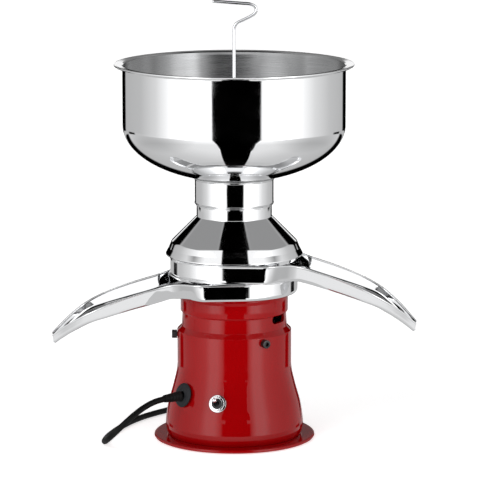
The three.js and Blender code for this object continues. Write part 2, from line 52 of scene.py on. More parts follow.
# ---- Camera ----
CAMERA_DISTANCE = 3.56
CAMERA_HEIGHT = 0.872
CAMERA_PITCH = 10.1  # degrees below the horizon
CAMERA_YAW = 0.30  # degrees towards +X
FOCAL = 3057 / 500 * 36  # millimetres on a 36 mm sensor


def make_camera():
    data = bpy.data.cameras.new("camera")
    data.lens = FOCAL
    data.sensor_width = 36
    data.clip_end = 50
    camera = bpy.data.objects.new("camera", data)
    camera.location = (0, -CAMERA_DISTANCE, CAMERA_HEIGHT)
    camera.rotation_euler = (
        math.radians(90 - CAMERA_PITCH), 0, math.radians(-CAMERA_YAW))
    bpy.context.scene.collection.objects.link(camera)
    bpy.context.scene.camera = camera


# ---- Mesh tools ----
def link(obj):
    bpy.context.scene.collection.objects.link(obj)
    return obj


def mesh_object(name, points, faces, smooth_angle=40):
    """An object from points in millimetres and faces, with its faces turned outwards."""
    mesh = bpy.data.meshes.new(name)
    mesh.from_pydata([Vector(p) * MM for p in points], [], faces)
    work = bmesh.new()
    work.from_mesh(mesh)
    bmesh.ops.remove_doubles(work, verts=work.verts, dist=1e-6)
    bmesh.ops.dissolve_degenerate(work, edges=work.edges, dist=1e-7)
    bmesh.ops.recalc_face_normals(work, faces=work.faces)
    work.to_mesh(mesh)
    work.free()
    mesh.shade_smooth()
    mesh.set_sharp_from_angle(angle=math.radians(smooth_angle))
    return link(bpy.data.objects.new(name, mesh))


def rounded(outline, steps=5):
    """An outline of (r, z) or (r, z, fillet radius) corners with its fillets drawn as arcs."""
    result = []
    count = len(outline)
    for i, corner in enumerate(outline):
        here = Vector(corner[:2])
        fillet = corner[2] if len(corner) > 2 else 0
        if not fillet:
            result.append(tuple(here))
            continue
        before = Vector(outline[i - 1][:2]) - here
        after = Vector(outline[(i + 1) % count][:2]) - here
        half = before.angle(after) / 2
        reach = min(fillet / math.tan(half), before.length * 0.49, after.length * 0.49)
        start = here + before.normalized() * reach
        end = here + after.normalized() * reach
        for k in range(steps + 1):
            t = k / steps
            result.append(tuple(start * (1 - t) ** 2 + here * 2 * t * (1 - t) + end * t * t))
    return result


def lathe_mesh(outline, sides):
    """Points and faces of an outline turned about Z. It closes on itself off the axis."""
    points, faces = [], []
    count = len(outline)
    closed = outline[0][0] > 1e-6 or outline[-1][0] > 1e-6
    for s in range(sides):
        angle = 2 * math.pi * s / sides
        cos, sin = math.cos(angle), math.sin(angle)
        points += [(r * cos, r * sin, z) for r, z in outline]
    for s in range(sides):
        a, b = s * count, ((s + 1) % sides) * count
        for k in range(count if closed else count - 1):
            n = (k + 1) % count
            faces.append((a + k, a + n, b + n, b + k))
    return points, faces


def lathe(name, outline, sides=ROUND, steps=5):
    return mesh_object(name, *lathe_mesh(rounded(outline, steps), sides))


def place(obj, matrix):
    """Moves an object's mesh, so that the object itself stays at the origin."""
    obj.data.transform(matrix)
    return obj


def outwards(azimuth, level, tilt=0.0, distance=0.0):
    """Turns a piece made along +Z to point outwards from the axis: azimuth is in degrees
    from the front towards +X, level and distance are in millimetres."""
    return (
        Matrix.Rotation(math.radians(azimuth), 4, "Z")
        @ Matrix.Translation((0, -distance * MM, level * MM))
        @ Matrix.Rotation(math.radians(90 - tilt), 4, "X")
    )


def merged(name, *objects):
    """One object holding the meshes of several."""
    work = bmesh.new()
    for obj in objects:
        work.from_mesh(obj.data)
    mesh = objects[0].data
    work.to_mesh(mesh)
    work.free()
    for obj in objects[1:]:
        bpy.data.objects.remove(obj)
    objects[0].name = name
    return objects[0]


def carved(obj, cutters, smooth_angle=40):
    """The object with the cutters' space taken out of it."""
    for cutter in cutters:
        change = obj.modifiers.new("cut", "BOOLEAN")
        change.object = cutter
        change.operation = "DIFFERENCE"
        change.solver = "EXACT"
    bpy.context.view_layer.update()
    graph = bpy.context.evaluated_depsgraph_get()
    mesh = bpy.data.meshes.new_from_object(obj.evaluated_get(graph))
    obj.modifiers.clear()
    obj.data = mesh
    for cutter in cutters:
        bpy.data.objects.remove(cutter)
    mesh.shade_smooth()
    mesh.set_sharp_from_angle(angle=math.radians(smooth_angle))
    return obj


def stadium(name, length, width, depth):
    """An upright slot-shaped block round Z, for cutting obround holes."""
    sides = 16
    half = (length - width) / 2
    ring = []
    for side in (1, -1):
        for k in range(sides + 1):
            angle = math.pi * (k / sides - 0.5) + (0 if side > 0 else math.pi)
            ring.append((side * half + width / 2 * math.cos(angle), width / 2 * math.sin(angle)))
    count = len(ring)
    points = [(x, y, z) for z in (0, depth) for x, y in ring]
    faces = [(i, (i + 1) % count, (i + 1) % count + count, i + count) for i in range(count)]
    faces += [tuple(range(count))[::-1], tuple(range(count, 2 * count))]
    return mesh_object(name, points, faces)


def smooth_between(stations, x):
    """A smooth curve through (x, value) stations, which never overshoots them."""
    xs = [s[0] for s in stations]
    ys = [s[1] for s in stations]
    if x <= xs[0]:
        return ys[0]
    if x >= xs[-1]:
        return ys[-1]
    slopes = [(ys[i + 1] - ys[i]) / (xs[i + 1] - xs[i]) for i in range(len(xs) - 1)]
    tangents = [slopes[0]]
    for a, b in zip(slopes, slopes[1:]):
        tangents.append(0 if a * b <= 0 else 2 * a * b / (a + b))
    tangents.append(slopes[-1])
    i = max(k for k in range(len(xs) - 1) if xs[k] <= x)
    h = xs[i + 1] - xs[i]
    t = (x - xs[i]) / h
    return (
        ys[i] * (1 + 2 * t) * (1 - t) ** 2
        + ys[i + 1] * t * t * (3 - 2 * t)
        + h * tangents[i] * t * (1 - t) ** 2
        - h * tangents[i + 1] * t * t * (1 - t)
    )


def catmull(points, per_step):
    """Points on a smooth curve that passes through the given ones."""
    points = [Vector(p) for p in points]
    ends = [2 * points[0] - points[1], *points, 2 * points[-1] - points[-2]]
    result = []
    for a, b, c, d in zip(ends, ends[1:], ends[2:], ends[3:]):
        for k in range(per_step):
            t = k / per_step
            result.append(0.5 * (
                2 * b + (c - a) * t + (2 * a - 5 * b + 4 * c - d) * t * t
                + (3 * b - 3 * c + d - a) * t ** 3))
    return result + [points[-1]]


# ---- Mains lead ----
LEAD_ROUTE = [
    (-63.6, -48.8, 60), (-73.8, -56.7, 60), (-84.2, -64.6, 59.6), (-94.5, -72.1, 57.9),
    (-104.7, -78.8, 53.7), (-114.8, -83.7, 47.2), (-124.5, -85.8, 39), (-133.6, -84.3, 30),
    (-141.6, -79.2, 21.2), (-147.7, -70.6, 13.8), (-151.6, -59.5, 8.4), (-153.3, -47.1, 5.2),
    (-153.1, -34.3, 3.9), (-151.5, -21.4, 3.6), (-148.8, -8.7, 3.6), (-145.5, 3.8, 3.6),
    (-141.7, 16.2, 3.6), (-137.6, 28.5, 3.6), (-133.1, 40.6, 3.6), (-128.1, 52.5, 3.6),
    (-122.5, 64.2, 3.6), (-116.2, 75.6, 3.6), (-109.3, 86.5, 3.6), (-101.6, 96.9, 3.6),
    (-93.4, 107, 3.6), (-84.8, 116.6, 3.6), (-76.3, 126.4, 3.6), (-68.2, 136.5, 3.6),
    (-61.4, 147.6, 3.6), (-55.5, 159.1, 3.6), (-50.4, 171, 3.6)]
TAIL_ROUTE = [
    (-47.4, 182.6, 10.6), (-41.4, 194.4, 11.2), (-33, 204.6, 12.6), (-23, 212.4, 14.8),
    (-12, 217.4, 17), (-0.9, 219, 18.4)]
COIL_CENTRE = (3, 156)
COIL_START, COIL_END = 164, 152  # degrees from +X; the coil runs clockwise from above
# Turns made so far and the coil's radius or the lead's level there.
COIL_RADII = [(0, 55.5), (0.25, 48.1), (2.25, 34.1), (2.5, 34.1), (3.8, 48.1), (4.0333, 57)]
COIL_LEVELS = [(0, 3.6), (2.2, 3.6), (2.6, 10.6), (4.0333, 10.6)]
COIL_STEPS = 16  # points to a turn
CORD_RADIUS = 3.5


def coil_route():
    turns = 4 + (COIL_START - COIL_END) / 360
    count = round(turns * COIL_STEPS)
    points = []
    for k in range(1, count):
        done = turns * k / count
        angle = math.radians(COIL_START - 360 * done)
        radius = smooth_between(COIL_RADII, done)
        points.append((
            COIL_CENTRE[0] + radius * math.cos(angle),
            COIL_CENTRE[1] + radius * math.sin(angle),
            smooth_between(COIL_LEVELS, done)))
    return points


def make_cord():
    route = LEAD_ROUTE + coil_route() + TAIL_ROUTE
    data = bpy.data.curves.new("mains_lead", "CURVE")
    data.dimensions = "3D"
    data.bevel_depth = CORD_RADIUS * MM
    data.bevel_resolution = 6
    data.resolution_u = 6
    data.use_fill_caps = True
    spline = data.splines.new("BEZIER")
    spline.bezier_points.add(len(route) - 1)
    for target, point in zip(spline.bezier_points, route):
        target.co = Vector(point) * MM
        target.handle_left_type = target.handle_right_type = "AUTO"
    return link(bpy.data.objects.new("mains_lead", data))


# ---- Materials ----
class Shader:
    """A node material under construction, with short calls for the nodes used here."""

    def __init__(self, name, color, metallic=0.0, **constants):
        self.material = bpy.data.materials.new(name)
        self.material.use_nodes = True
        self.tree = self.material.node_tree
        self.shader = self.tree.nodes["Principled BSDF"]
        self.color = (*color, 1)
        self.set(self.shader, "Base Color", self.color)
        self.set(self.shader, "Metallic", metallic)
        for key, value in constants.items():
            self.set(self.shader, key.replace("_", " "), value)
        self.place = self.node("ShaderNodeTexCoord").outputs["Object"]
        self.height = None

    def node(self, kind, **values):
        node = self.tree.nodes.new(kind)
        for key, value in values.items():
            setattr(node, key, value)
        return node

    def set(self, node, socket, value):
        if isinstance(value, bpy.types.NodeSocket):
            self.tree.links.new(value, node.inputs[socket])
        else:
            node.inputs[socket].default_value = value

    def math(self, operation, a, b=0.0):
        node = self.node("ShaderNodeMath", operation=operation)
        self.set(node, 0, a)
        self.set(node, 1, b)
        return node.outputs[0]

    def noise(self, scale, detail, stretch=(1, 1, 1), vector=None):
        mapping = self.node("ShaderNodeMapping")
        self.set(mapping, "Vector", vector or self.place)
        self.set(mapping, "Scale", stretch)
        noise = self.node("ShaderNodeTexNoise")
        self.set(noise, "Vector", mapping.outputs[0])
        self.set(noise, "Scale", scale)
        self.set(noise, "Detail", detail)
        return noise.outputs["Fac"]

    def speckle(self, scale):
        cells = self.node("ShaderNodeTexVoronoi")
        self.set(cells, "Vector", self.place)
        self.set(cells, "Scale", scale)
        return cells.outputs["Distance"]

    def span(self, value, low, high, start=0.3, end=0.7):
        node = self.node("ShaderNodeMapRange")
        self.set(node, "Value", value)
        for socket, number in (
                ("From Min", start), ("From Max", end), ("To Min", low), ("To Max", high)):
            self.set(node, socket, number)
        return node.outputs[0]

    def mix(self, factor, a, b):
        node = self.node("ShaderNodeMix", data_type="RGBA")
        self.set(node, "Factor", factor)
        self.set(node, 6, (*a, 1) if len(a) == 3 else a)
        self.set(node, 7, (*b, 1) if len(b) == 3 else b)
        return node.outputs[2]

    def tint(self, factor, other):
        """Colour that drifts between the base colour and another."""
        self.set(self.shader, "Base Color", self.mix(factor, self.color, other))
        return self

    def rough(self, factor, low, high):
        self.set(self.shader, "Roughness", self.span(factor, low, high))
        return self

    def bump(self, height, distance):
        """Relief, with its depth in millimetres."""
        node = self.node("ShaderNodeBump")
        self.set(node, "Height", height)
        self.set(node, "Distance", distance * MM)
        if self.height:
            self.set(node, "Normal", self.height)
        self.height = node.outputs[0]
        self.set(self.shader, "Normal", self.height)
        return self

    def turning(self, around, along):
        """Coordinates for marks that run round the Z axis, like a lathe's."""
        parts = self.node("ShaderNodeSeparateXYZ")
        self.set(parts, 0, self.place)
        x, y, z = parts.outputs
        angle = self.math("ARCTAN2", y, x)
        radius = self.math("SQRT", self.math("ADD", self.math("MULTIPLY", x, x),
                                             self.math("MULTIPLY", y, y)))
        joined = self.node("ShaderNodeCombineXYZ")
        self.set(joined, 0, self.math("MULTIPLY", angle, around))
        self.set(joined, 1, self.math("MULTIPLY", radius, along))
        self.set(joined, 2, self.math("MULTIPLY", z, along))
        return joined.outputs[0]


def polished(name="polished", color=(0.86, 0.865, 0.875), roughness=(0.035, 0.085)):
    s = Shader(name, color, metallic=1.0)
    s.tint(s.span(s.noise(9, 2), 0, 0.6), tuple(c * 0.97 for c in color))
    s.rough(s.noise(40, 5), *roughness)
    s.bump(s.noise(1, 2, vector=s.turning(1.2, 420)), 0.0012)
    return s.bump(s.noise(900, 2, stretch=(1, 1, 0.08)), 0.0006).material


def brushed(name, color, roughness, along=1500, depth=0.006, metallic=1.0, painted_streak=0.35):
    """Metal with fine marks running round the Z axis, and broad soft streaks across them: painted
    reflection, darker bands in the colour that stand in for the light and dark bands a brushed
    surface reflects.
    """
    s = Shader(name, color, metallic=metallic, Anisotropic=0.5)
    marks = s.noise(1, 3, vector=s.turning(2.4, along))
    patches = s.noise(1, 2, vector=s.turning(1.0, 60))
    # Painted reflection: broad soft bands round the axis darken the colour, as the light and dark
    # bands that brushed metal reflects would. The fine marks are the metal's own grain.
    painted_streaks = s.span(s.noise(1, 2, vector=s.turning(1.9, 2)), 0, painted_streak, 0.42, 0.62)
    s.tint(s.math("MAXIMUM", painted_streaks, s.span(marks, 0, 0.55, 0.3, 0.75)),
           tuple(c * 0.4 for c in color))
    s.rough(s.math("ADD", s.math("MULTIPLY", marks, 0.6), s.math("MULTIPLY", patches, 0.4)),
            *roughness)
    tangent = s.node("ShaderNodeTangent", direction_type="RADIAL", axis="Z")
    s.set(s.shader, "Tangent", tangent.outputs[0])
    return s.bump(marks, depth).material


def enamel(name, color):
    s = Shader(name, color, metallic=0.0, Coat_Weight=1.0, Coat_Roughness=0.04, Coat_IOR=1.34,
               Specular_IOR_Level=0.0)
    s.tint(s.span(s.noise(7, 3), 0, 1), (color[0] * 0.88, color[1] * 0.8, color[2] * 0.8))
    s.rough(s.noise(160, 4), 0.26, 0.38)
    s.bump(s.noise(190, 2), 0.005)
    s.set(s.shader, "Coat Normal", s.height)
    return s.bump(s.noise(1500, 2), 0.0012).material


def moulded(name, color, roughness=(0.45, 0.62), grain=900.0, depth=0.02, gloss=0.5):
    """Rubber or plastic with a fine moulded grain and a little handling dust."""
    s = Shader(name, color, Specular_IOR_Level=gloss)
    s.tint(s.span(s.noise(60, 5), 0, 1, 0.45, 0.85), tuple(c * 1.7 + 0.006 for c in color))
    s.rough(s.noise(120, 4), *roughness)
    s.bump(s.noise(grain, 3), depth)
    return s.bump(s.speckle(grain * 1.4), depth * 0.5).material


def grained(name, color, roughness, metallic=1.0, depth=0.015, other=None):
    """Cast, ground or oxidised metal."""
    s = Shader(name, color, metallic=metallic)
    s.tint(s.span(s.noise(90, 5), 0, 1), other or tuple(c * 0.7 for c in color))
    s.rough(s.noise(250, 4), *roughness)
    return s.bump(s.noise(500, 4), depth).material


def stacked(name, color):
    """Thin sheets stacked along Z."""
    s = Shader(name, color, metallic=1.0)
    lines = s.noise(1, 1, stretch=(1, 1, 2400))
    s.tint(s.span(lines, 0, 1), tuple(c * 0.45 for c in color))
    s.rough(s.noise(300, 3), 0.38, 0.6)
    return s.bump(lines, 0.05).material


def wound(name, color):
    """Lacquered wire laid side by side."""
    s = Shader(name, color, metallic=0.9, Coat_Weight=0.6, Coat_Roughness=0.15)
    wires = s.noise(1, 2, stretch=(60, 1500, 60))
    s.tint(s.span(wires, 0, 1), tuple(c * 0.4 for c in color))
    s.rough(s.noise(200, 3), 0.25, 0.45)
    return s.bump(wires, 0.12).material


MIRROR = polished()
# The inside's deep streaks are painted reflection: dark bands in its colour for the light and dark
# areas that the bowl's inside reflects.
BRUSHED_INSIDE = brushed("brushed_inside", (0.42, 0.424, 0.43), (0.18, 0.36), metallic=0.9,
                         depth=0.012, painted_streak=0.9)
MATERIALS = {
    "red_paint": enamel("red_enamel", (0.28, 0.0006, 0.0016)),
    "polished_metal": MIRROR,
    "disc_metal": brushed("spun_discs", (0.8, 0.81, 0.82), (0.16, 0.3)),
    "steel": brushed("turned_steel", (0.62, 0.63, 0.65), (0.16, 0.34), along=2200),
    "black_steel": grained("black_oxide", (0.022, 0.021, 0.023), (0.2, 0.36), 0.8,
                           other=(0.06, 0.055, 0.055)),
    "cast_metal": grained("cast_alloy", (0.55, 0.56, 0.57), (0.4, 0.62), depth=0.05),
    "lamination": stacked("laminations", (0.4, 0.4, 0.42)),
    "copper": wound("copper_wire", (0.72, 0.33, 0.16)),
    "brass": brushed("machined_brass", (0.78, 0.58, 0.26), (0.18, 0.34)),
    "carbon": grained("pressed_carbon", (0.02, 0.02, 0.022), (0.5, 0.7), 0.0,
                      other=(0.04, 0.04, 0.042)),
    "chrome": polished("chrome", (0.84, 0.85, 0.87), (0.04, 0.1)),
    "black_plastic": moulded("black_moulding", (0.014, 0.014, 0.015), (0.3, 0.45), 1200, 0.01,
                             0.3),
    "rubber": moulded("moulded_rubber", (0.010, 0.011, 0.013), gloss=0.22),
    "cord_rubber": moulded("cord_sheath", (0.004, 0.004, 0.004), (0.3, 0.42), 700, 0.015, 0.07),
    "float_plastic": moulded("white_moulding", (0.78, 0.79, 0.78), (0.3, 0.42), 500, 0.01),
}


def fitted(piece, body, slot, *nodes, own_materials=False):
    """Puts a finished piece in place of CAD nodes: on its body, with the material that its slot
    names.
    """
    if not own_materials:
        piece.data.materials.clear()
        piece.data.materials.append(MATERIALS[slot])
    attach(piece, body)
    if nodes:
        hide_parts(*nodes)
    return piece


# ---- Base and housing ----
SCREW_AZIMUTHS = (31, 151, 271)  # degrees from the front towards +X
SCREW_LEVEL = 125
SLOT_AZIMUTHS = (59.4, 239.4)
SLOT_LEVEL = 149
BELL = 67.7  # radius of the housing's straight part
BELL_LOW, BELL_HIGH, BELL_STEPS = 5.8, 100, 60
HOUSING_WALL = 3.2
FOOT_CIRCLE, BASE_SCREW_CIRCLE = 66, 73
KNURL = 0.955  # depth of a screw head's grooves, as a share of its radius
SWITCH = {"azimuth": -15, "level": 56, "tilt": 15.4, "distance": 75.1}
CORD_EXIT = {"azimuth": -52.5, "level": 60, "tilt": 15.4, "distance": 73.9}
BELL_CURVE = [
    (BELL_LOW, 79.4), (10, 81), (18, 81.9), (32, 80.5), (44.5, 78.2), (54, 75.5), (66, 72.2),
    (83.6, 68.4), (92, BELL), (BELL_HIGH, BELL)]  # level, radius


def make_base():
    plate = lathe("base_flange", [
        (24, 1.5, 0.5), (94.6, 1.5, 0.8), (95.7, 3.2, 0.8), (95.2, 5.2, 0.9), (93.6, 5.5, 0.6),
        (24, 5.5, 0.5)])
    fitted(plate, "housing", "red_paint", "base_plate")
    for i, angle in enumerate((45, 135, 225, 315)):
        foot = lathe(f"foot_{i + 1}", [
            (0, 0), (7.6, 0, 0.4), (9, 1.2, 0.3), (2.7, 1.2), (2.7, 5.8), (4, 5.8), (3.4, 7.9),
            (0, 7.9)], SMALL)
        spin = Matrix.Rotation(math.radians(angle), 4, "Z")
        place(foot, spin @ Matrix.Translation((FOOT_CIRCLE * MM, 0, 0)))
        fitted(foot, "housing", "rubber", f"rubber_foot_{i + 1}")

    levels = [BELL_LOW + k * (BELL_HIGH - BELL_LOW) / BELL_STEPS for k in range(BELL_STEPS + 1)]
    bell = [(smooth_between(BELL_CURVE, z), z) for z in levels]
    inner = [(r - HOUSING_WALL, z) for r, z in bell if z > 12][::-1]
    housing = lathe("housing_shell", [
        *bell, (BELL, 131.3, 0.7), (62.4, 136.6, 0.8), (61.5, 152.9, 0.5), (63.7, 154.8, 0.6),
        (63.7, 177.2, 0.9), (60.4, 177.2), (60.4, 167.5), (58.5, 166), (58.5, 136.6),
        (64.5, 131.1), *inner, (75.3, BELL_LOW)])
    cutters = []
    for azimuth in SCREW_AZIMUTHS:
        hole = lathe("hole", [(0, 50), (3.4, 50), (3.4, 80), (0, 80)], SMALL)
        cutters.append(place(hole, outwards(azimuth, SCREW_LEVEL)))
    for azimuth in SLOT_AZIMUTHS:
        slot = stadium("slot", 28, 9.4, 22)
        cutters.append(place(slot, outwards(azimuth, SLOT_LEVEL, distance=50)))
    for spot, radius in ((SWITCH, 6.4), (CORD_EXIT, 9.2)):
        hole = lathe("hole", [(0, -8), (radius, -8), (radius, 8), (0, 8)], SMALL)
        cutters.append(place(hole, outwards(**spot)))
    carved(housing, cutters)
    fitted(housing, "housing", "red_paint", "motor_housing")


def cap_screw(name, radius, height, across, shank, length):
    """A knurled socket head screw along +Z, with its head's underside on Z = 0."""
    ridges = 44
    outline = rounded([(0, 0), (radius, 0, 0.3), (radius, height, 0.7), (0, height)], 3)
    points, faces = lathe_mesh(outline, ridges * 2)
    for i, (x, y, z) in enumerate(points):
        spoke = i // len(outline)
        if spoke % 2 and math.hypot(x, y) > radius * 0.9 and 0.8 < z < height - 0.9:
            points[i] = (x * KNURL, y * KNURL, z)
    head = mesh_object(name, points, faces, 50)
    socket = lathe("socket", [(0, height - 3.2), (across, height - 3.2), (across, height + 1),
                              (0, height + 1)], 6)
    carved(head, [socket], 30)
    body = lathe("shank", [(0, -length), (shank, -length, 0.5), (shank, 0.2), (0, 0.2)], 32)
    return merged(name, head, body)


def make_screws():
    for i, azimuth in enumerate(SCREW_AZIMUTHS):
        screw = cap_screw(f"motor_screw_{i + 1}", 5, 6.2, 2.9, 2.9, 15)
        place(screw, outwards(azimuth, SCREW_LEVEL, distance=BELL + 0.3))
        fitted(screw, "housing", "black_steel", f"mount_screw_{i + 1}")
    for i, angle in enumerate((0, 120, 240)):
        screw = cap_screw(f"flange_screw_{i + 1}", 3.7, 2.1, 1.6, 1.7, 14)
        place(screw, Matrix.Rotation(math.radians(angle), 4, "Z")
              @ Matrix.Translation((BASE_SCREW_CIRCLE * MM, 0, 3.7 * MM))
              @ Matrix.Rotation(math.pi, 4, "X"))
        fitted(screw, "housing", "steel", f"base_screw_{i + 1}")


# ---- Switch, grommet and plug ----
LEVER_TILT = 12


def make_switch():
    threads = []
    for k in range(9):
        level = 0.9 + k * 0.58
        threads += [(5.6, level), (6, level + 0.29)]
    barrel = lathe("switch_barrel", [
        (0, -5), (5.6, -5), *threads, (5.3, 6.4, 0.3), (3.6, 6.4, 0.3), (2.6, 1), (0, 1)], SMALL)
    case = block("case", (-8, -14, -25), (8, 14, -5), 1.2)
    body = merged("switch_case", barrel, case)
    place(body, outwards(**SWITCH))
    fitted(body, "housing", "black_plastic", "switch_body")

    washer = lathe("washer", [(6.3, 0.7), (10.3, 0.7, 0.3), (10.3, 1.6, 0.4), (8.9, 2.1),
                              (6.3, 2.1)], MEDIUM)
    sides = 44
    outline = rounded([(6.2, 2), (9, 2, 0.3), (8.7, 4.2, 0.5), (6.2, 4.8, 0.4)], 3)
    points, faces = lathe_mesh(outline, sides * 2)
    for i, (x, y, z) in enumerate(points):
        if (i // len(outline)) % 4 in (0, 1) and math.hypot(x, y) > 8.2:
            points[i] = (x * 0.93, y * 0.93, z)
    nut = merged("switch_ring_nut", washer, mesh_object("nut", points, faces, 35))
    place(nut, outwards(**SWITCH))
    fitted(nut, "housing", "chrome", "switch_nut")

    lever = lathe("toggle_lever", [
        (0, 0), (1.5, 0), (1.5, 6, 1), (2, 11, 3), (2.6, 16.4, 1.2), (2.3, 18.6, 1),
        (1.2, 19.6, 0.6), (0, 19.7)], SMALL, 6)
    tilt = Matrix.Rotation(math.radians(-LEVER_TILT), 4, "X")
    place(lever, outwards(**SWITCH) @ tilt)
    fitted(lever, "switch_lever", "chrome", "switch_lever")


def block(name, low, high, bevel):
    """A box with rounded edges, from its lowest to its highest corner."""
    corners = [(x, y, z) for x in (low[0], high[0]) for y in (low[1], high[1])
               for z in (low[2], high[2])]
    faces = [(0, 1, 3, 2), (4, 6, 7, 5), (0, 4, 5, 1), (2, 3, 7, 6), (0, 2, 6, 4), (1, 5, 7, 3)]
    obj = mesh_object(name, corners, faces)
    work = bmesh.new()
    work.from_mesh(obj.data)
    bmesh.ops.bevel(work, geom=work.edges[:], offset=bevel * MM, segments=3, affect="EDGES",
                    profile=0.5)
    work.to_mesh(obj.data)
    work.free()
    obj.data.shade_smooth()
    return obj


PLUG_AT = (0, 219, 18.4)


def make_lead_fittings():
    grommet = lathe("rubber_grommet", [
        (4.4, -6), (8.1, -6, 0.5), (8.1, 1.4), (14.3, 1.9, 0.3), (14.3, 3.1, 0.8), (12, 4.2, 2),
        (8, 5, 1.6), (6.4, 4.4, 0.8), (4.4, 4.6, 0.5)], MEDIUM)
    place(grommet, outwards(**CORD_EXIT))
    fitted(grommet, "housing", "rubber", "cord_grommet")

    outline = [(3.8, 81)]
    for k in range(5):
        start, radius = 81 + k * 4.4, 6.2 - 0.36 * k
        outline += [(radius, start, 0.4), (radius - 0.1, start + 2.9, 0.4),
                    (radius - 0.9, start + 3.3, 0.2), (radius - 0.9, start + 4.0, 0.2)]
    outline += [(4.5, 103.2, 0.3), (4.2, 104, 0.3), (3.8, 104)]
    relief = lathe("lead_strain_relief", outline, MEDIUM, 3)
    place(relief, outwards(CORD_EXIT["azimuth"], CORD_EXIT["level"]))
    fitted(relief, "housing", "cord_rubber", "strain_relief")

    turned = Matrix.Translation(Vector(PLUG_AT) * MM) @ Matrix.Rotation(math.pi / 2, 4, "Y")
    outline = [(3.7, 0, 0.4), (5.4, 0, 0.8)]
    for k in range(4):
        start = 2 + 3 * k
        outline += [(5.6 + 0.3 * k, start, 0.3), (4.9 + 0.3 * k, start + 0.5, 0.2),
                    (4.9 + 0.3 * k, start + 1.4, 0.2), (5.8 + 0.3 * k, start + 1.9, 0.3)]
    outline += [(7.4, 15.5, 2), (10, 21, 3), (15.2, 27, 4), (18.2, 32, 3), (18.2, 39, 0.4),
                (17.6, 39.4, 0.2), (17.6, 40.2, 0.2), (18.2, 40.6, 0.4), (18.2, 47, 1.2),
                (3.7, 47)]
    plug = lathe("plug_body", outline, MEDIUM, 4)
    place(plug, turned)
    fitted(plug, "housing", "black_plastic", "mains_plug")
    pins = []
    for side in (-1, 1):
        pin = lathe("pin", [(0, 44), (2.4, 44), (2.4, 55, 0.2), (2, 55.2, 0.1), (2.35, 56, 0.3),
                            (2.4, 64.6, 1.4), (1, 66, 0.4), (0, 66)], 32)
        pins.append(place(pin, turned @ Matrix.Translation((0, 9.5 * side * MM, 0))))
    fitted(merged("plug_pins", *pins), "housing", "chrome", "mains_plug")
    return plug, bpy.data.objects["plug_pins"], relief


# ---- Receivers ----
SPOUT_REACH = 216
SHEET = 1.4
# Distance from the axis, and half width of the outline, drop of the rim, height of the wall.
SPOUT_WIDTHS = [
    (0, 75), (14, 74.9), (28, 74.7), (42, 73.7), (50, 71.0), (60, 62.2), (70, 51.5), (80, 45),
    (94, 42.3), (120, 41.5), (150, 41.5), (164, 39.9), (176, 36), (187, 29.5), (198, 21.2),
    (208, 13), (SPOUT_REACH, 7.5)]
SPOUT_DROPS = [
    (0, 0), (14, 0), (42, 0.3), (56, 0.9), (70, 2.8), (80, 5.4), (94, 9.6), (120, 17.5),
    (150, 29), (174, 41), (198, 58), (SPOUT_REACH, 74.5)]
SPOUT_WALLS = [(94, 19.4), (120, 19.2), (150, 17), (174, 13.2), (198, 11.6), (SPOUT_REACH, 11.4)]
SPOUT_LEANS = [(40, 0), (58, 0.22), (SPOUT_REACH, 0.22)]
ROOT = 58  # the trough's floor starts here
# The rim's rounded edge on each skin: shift inwards, and depth under the rim.
OUTER_BEAD = [(0.05, 2.25), (-0.45, 2.0), (-0.75, 1.4), (-0.7, 0.7), (-0.35, 0.2), (0.2, 0)]
INNER_BEAD = [(0, 2.25), (-0.05, 2.0), (-0.1, 1.4), (-0.15, 0.7), (-0.35, 0.25), (-0.6, 0)]
SIDE_STEPS, ROUND_STEPS = 110, 96  # points along one side of the spout, and round the pan
WALL_STEPS, CORNER_STEPS, FLOOR_STEPS = 8, 5, 7
BEAD_HEIGHT = 2.4
PAN = SPOUT_WIDTHS[0][1]  # the pan's radius that the widths are drawn for
PAN_ENDS = 80  # a wider pan is as wide as the drawn one from here on


